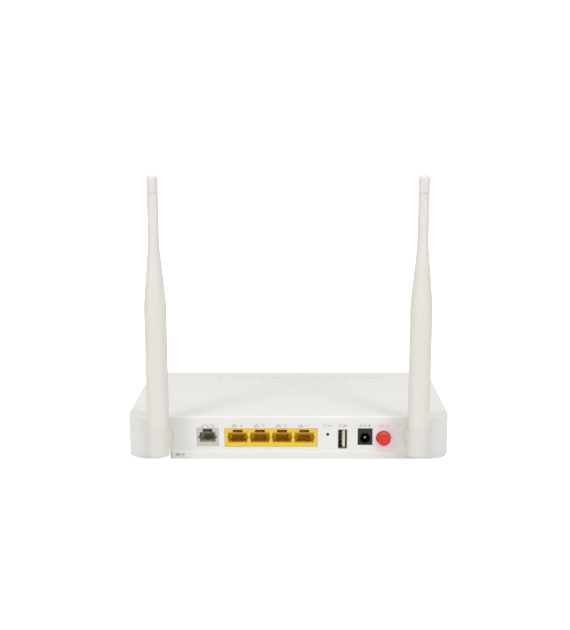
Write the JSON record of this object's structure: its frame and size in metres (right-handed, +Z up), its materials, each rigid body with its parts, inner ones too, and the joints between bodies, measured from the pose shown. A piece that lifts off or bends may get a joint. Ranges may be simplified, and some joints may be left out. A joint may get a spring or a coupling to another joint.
{
  "type": "optical network terminal",
  "caption": "Flat white optical network terminal with sockets and a push button in its rear wall and two round swivelling antennas.",
  "frame": {"origin": "on the surface that the feet stand on, under the middle of the whole object", "axes": "+Z up, +X right as seen from the socket side, +Y from the socket side to the indicator side; the sockets face -Y"},
  "size_m": [0.2032, 0.1578, 0.1789],
  "materials": {
    "casing": "fine satin white",
    "antenna": "satin warm white",
    "rubber": "matte grey",
    "steel": "plated",
    "label": "matt film",
    "yellow_plastic": "satin yellow",
    "grey_plastic": "satin warm grey",
    "gold_plate": "gold plated wire",
    "pale_plastic": "satin ivory",
    "black_plastic": "satin black",
    "red_plastic": "glossy red",
    "green_plastic": "satin green",
    "ceramic": "polished white ceramic",
    "aluminium": "satin",
    "board": "green solder mask",
    "chip": "matt moulded",
    "capacitor": "shrink sleeve",
    "clear_plastic": "clear light guide",
    "brass": "drawn",
    "cable": "matt black jacket"
  },
  "bodies": {
    "casing": {"bottom_casing": "casing", "top_cover": "casing", "fibre_bay": "casing", "foot_1": "rubber", "foot_2": "rubber", "foot_3": "rubber", "foot_4": "rubber", "screw_1": "steel", "screw_2": "steel", "screw_3": "steel", "screw_4": "steel", "rating_label": "label", "lan_jack_block": "yellow_plastic", "phone_jack": "grey_plastic", "lan_contacts_1": "gold_plate", "lan_contacts_2": "gold_plate", "lan_contacts_3": "gold_plate", "lan_contacts_4": "gold_plate", "phone_contacts": "gold_plate", "usb_shell": "steel", "usb_tongue": "pale_plastic", "dc_jack_body": "black_plastic", "dc_jack_pin": "steel", "power_switch_body": "black_plastic", "reset_switch_body": "black_plastic", "fibre_adapter": "green_plastic", "fibre_ferrule_sleeve": "ceramic", "optical_transceiver": "aluminium", "fibre_pigtail": "yellow_plastic", "main_board": "board", "processor": "chip", "heat_sink": "aluminium", "wifi_shield": "steel", "memory_chip": "chip", "phone_line_chip": "chip", "lan_transformer_1": "chip", "lan_transformer_2": "chip", "power_inductor": "chip", "capacitor_1": "capacitor", "capacitor_2": "capacitor", "capacitor_3": "capacitor", "light_bar": "clear_plastic", "antenna_left_lead": "cable", "antenna_right_lead": "cable"},
    "antenna_left": {"antenna_left_base": "antenna", "antenna_left_retainer": "steel", "antenna_left_sleeve": "antenna", "antenna_left_tip": "antenna", "antenna_left_radiator": "brass", "antenna_left_coax": "cable"},
    "antenna_right": {"antenna_right_base": "antenna", "antenna_right_retainer": "steel", "antenna_right_sleeve": "antenna", "antenna_right_tip": "antenna", "antenna_right_radiator": "brass", "antenna_right_coax": "cable"},
    "power_key": {"power_button": "red_plastic"},
    "reset_key": {"reset_plunger": "grey_plastic"}
  },
  "joints": [
    {"name": "antenna_left_swivel", "type": "hinge", "parent": "casing", "child": "antenna_left", "pos_m": [-0.0806, -0.0601, 0.0171], "axis": [0, 1, 0], "range_deg": [-90, 25]},
    {"name": "antenna_right_swivel", "type": "hinge", "parent": "casing", "child": "antenna_right", "pos_m": [0.0806, -0.0601, 0.0171], "axis": [0, 1, 0], "range_deg": [-25, 90]},
    {"name": "power_button_push", "type": "slide", "parent": "casing", "child": "power_key", "axis": [0, 1, 0], "range_m": [0, 0.0025], "stiffness_N_per_m": 600},
    {"name": "reset_push", "type": "slide", "parent": "casing", "child": "reset_key", "axis": [0, 1, 0], "range_m": [0, 0.0003], "stiffness_N_per_m": 3000}
  ]
}
